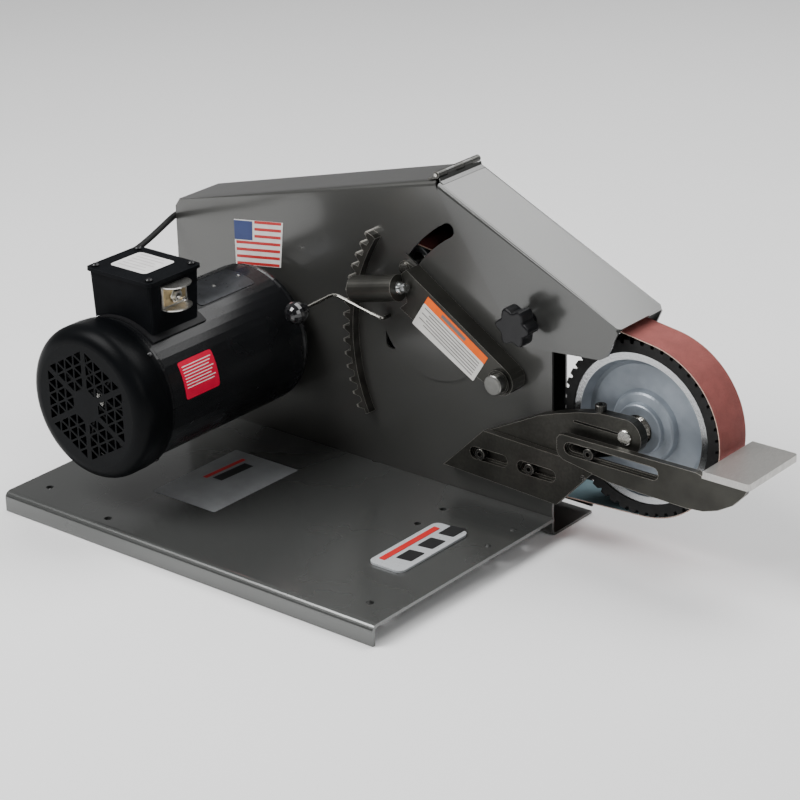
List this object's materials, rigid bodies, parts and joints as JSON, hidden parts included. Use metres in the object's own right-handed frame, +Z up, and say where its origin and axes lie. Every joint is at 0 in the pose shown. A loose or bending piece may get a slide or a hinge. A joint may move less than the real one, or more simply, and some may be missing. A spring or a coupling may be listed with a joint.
{
  "type": "belt grinder",
  "caption": "Bench-top belt grinder: motor on a sheet base, belt housing with hinged guard, contact wheel, tension arm and adjustable work rest.",
  "frame": {"origin": "middle of the machine's footprint, on the bench", "axes": "+X along the machine towards the contact wheel, +Y away from the motor, +Z up"},
  "size_m": [0.8506, 0.5752, 0.4],
  "materials": {
    "grey_paint": "glossy dark grey metallic powder coat",
    "black_paint": "glossy black enamel",
    "bright_steel": "bright turned or plated steel",
    "dark_steel": "dark hot-rolled steel with worn edges",
    "alloy": "machined alloy",
    "wheel_paint": "blue-grey painted casting with a machined rim",
    "tread": "serrated black rubber",
    "abrasive": "red-brown abrasive on cloth",
    "black_plastic": "black moulded plastic",
    "knob_black": "glossy black phenolic",
    "winding": "lacquered copper winding on a steel stack",
    "cord": "black cord jacket",
    "badge": "silver plate with a red bar"
  },
  "bodies": {
    "frame": {"base_plate": "grey_paint", "base_badge": "badge", "housing_body": "grey_paint", "back_cover": "grey_paint", "hinge_fixed_leaf": "dark_steel", "hinge_pin": "bright_steel", "pivot_pin": "bright_steel", "pivot_collar": "dark_steel", "ratchet_rack": "dark_steel", "motor_shell": "black_paint", "motor_drive_bell": "black_paint", "motor_fan_bell": "black_paint", "fan_cover": "black_paint", "stator": "winding", "drive_bearing": "bright_steel", "fan_bearing": "bright_steel", "conduit_box": "black_paint", "conduit_gasket": "black_plastic", "conduit_lid": "black_paint", "lid_screw_1": "black_plastic", "lid_screw_2": "black_plastic", "lid_screw_3": "black_plastic", "lid_screw_4": "black_plastic", "toggle_switch": "bright_steel", "switch_guard": "bright_steel", "cord_gland": "black_plastic", "power_cord": "cord", "cord_coil": "cord", "power_plug": "black_plastic", "cord_clip": "black_plastic", "wheel_arm": "dark_steel", "pinch_screw": "dark_steel", "contact_axle": "bright_steel", "bracket_screw_1": "dark_steel", "bracket_screw_2": "dark_steel", "abrasive_belt": "abrasive"},
    "drive_train": {"rotor_shaft": "bright_steel", "drive_wheel": "alloy", "cooling_fan": "black_plastic"},
    "contact_wheel_body": {"contact_wheel": "wheel_paint", "contact_tread": "tread", "contact_bearing": "bright_steel"},
    "arm": {"tension_arm": "grey_paint", "spring_tube": "grey_paint", "tube_bolt": "bright_steel", "tension_spring": "bright_steel", "slot_shield": "grey_paint", "idler_axle": "bright_steel"},
    "idler": {"idler_wheel": "alloy", "idler_bearing": "bright_steel"},
    "catch": {"catch_lever": "bright_steel", "catch_lever_knob": "knob_black"},
    "guard": {"front_guard": "grey_paint"},
    "knob": {"guard_knob": "black_plastic", "guard_stud": "bright_steel"},
    "toggle": {"toggle_lever": "bright_steel"},
    "bracket": {"rest_bracket": "dark_steel"},
    "rest_pivot": {"rest_screw": "dark_steel"},
    "rest": {"tool_rest": "dark_steel"}
  },
  "joints": [
    {"name": "motor_spin", "type": "hinge", "parent": "frame", "child": "drive_train", "pos_m": [-0.2795, 0.1185, 0.1565], "axis": [0, 1, 0], "continuous": true},
    {"name": "contact_spin", "type": "hinge", "parent": "frame", "child": "contact_wheel_body", "pos_m": [0.2505, 0.1185, 0.1545], "axis": [0, 1, 0], "continuous": true},
    {"name": "tension_pivot", "type": "hinge", "parent": "frame", "child": "arm", "pos_m": [0.0925, 0.093, 0.185], "axis": [0, 1, 0], "range_deg": [-33, 0], "deforming": ["abrasive_belt"]},
    {"name": "idler_spin", "type": "hinge", "parent": "arm", "child": "idler", "pos_m": [-0.05469, 0.1185, 0.28058], "axis": [0, 1, 0], "continuous": true},
    {"name": "catch_lever_lift", "type": "hinge", "parent": "arm", "child": "catch", "pos_m": [-0.0825, 0.102, 0.216], "axis": [0, 1, 0], "range_deg": [0, 12]},
    {"name": "guard_hinge", "type": "hinge", "parent": "frame", "child": "guard", "pos_m": [-0.0145, 0.1185, 0.396], "axis": [0, -1, 0], "range_deg": [0, 110]},
    {"name": "guard_knob_turn", "type": "hinge", "parent": "guard", "child": "knob", "pos_m": [0.118, 0.1185, 0.258], "axis": [0, 1, 0], "range_deg": [0, 360]},
    {"name": "toggle_throw", "type": "hinge", "parent": "frame", "child": "toggle", "pos_m": [-0.23, -0.082, 0.27], "axis": [0, 0, 1], "range_deg": [0, 18]},
    {"name": "bracket_slide", "type": "slide", "parent": "frame", "child": "bracket", "axis": [1, 0, 0], "range_m": [-0.003, 0.006]},
    {"name": "rest_tilt", "type": "hinge", "parent": "bracket", "child": "rest_pivot", "pos_m": [0.2143, 0.089, 0.131], "axis": [0, -1, 0], "range_deg": [-12, 10]},
    {"name": "rest_slide", "type": "slide", "parent": "rest_pivot", "child": "rest", "axis": [1, 0, 0], "range_m": [-0.003, 0.024]}
  ],
  "couplings": [
    {"joint": "contact_spin", "follows": "motor_spin", "ratio": 1.2894},
    {"joint": "idler_spin", "follows": "motor_spin", "ratio": 5.9546}
  ]
}
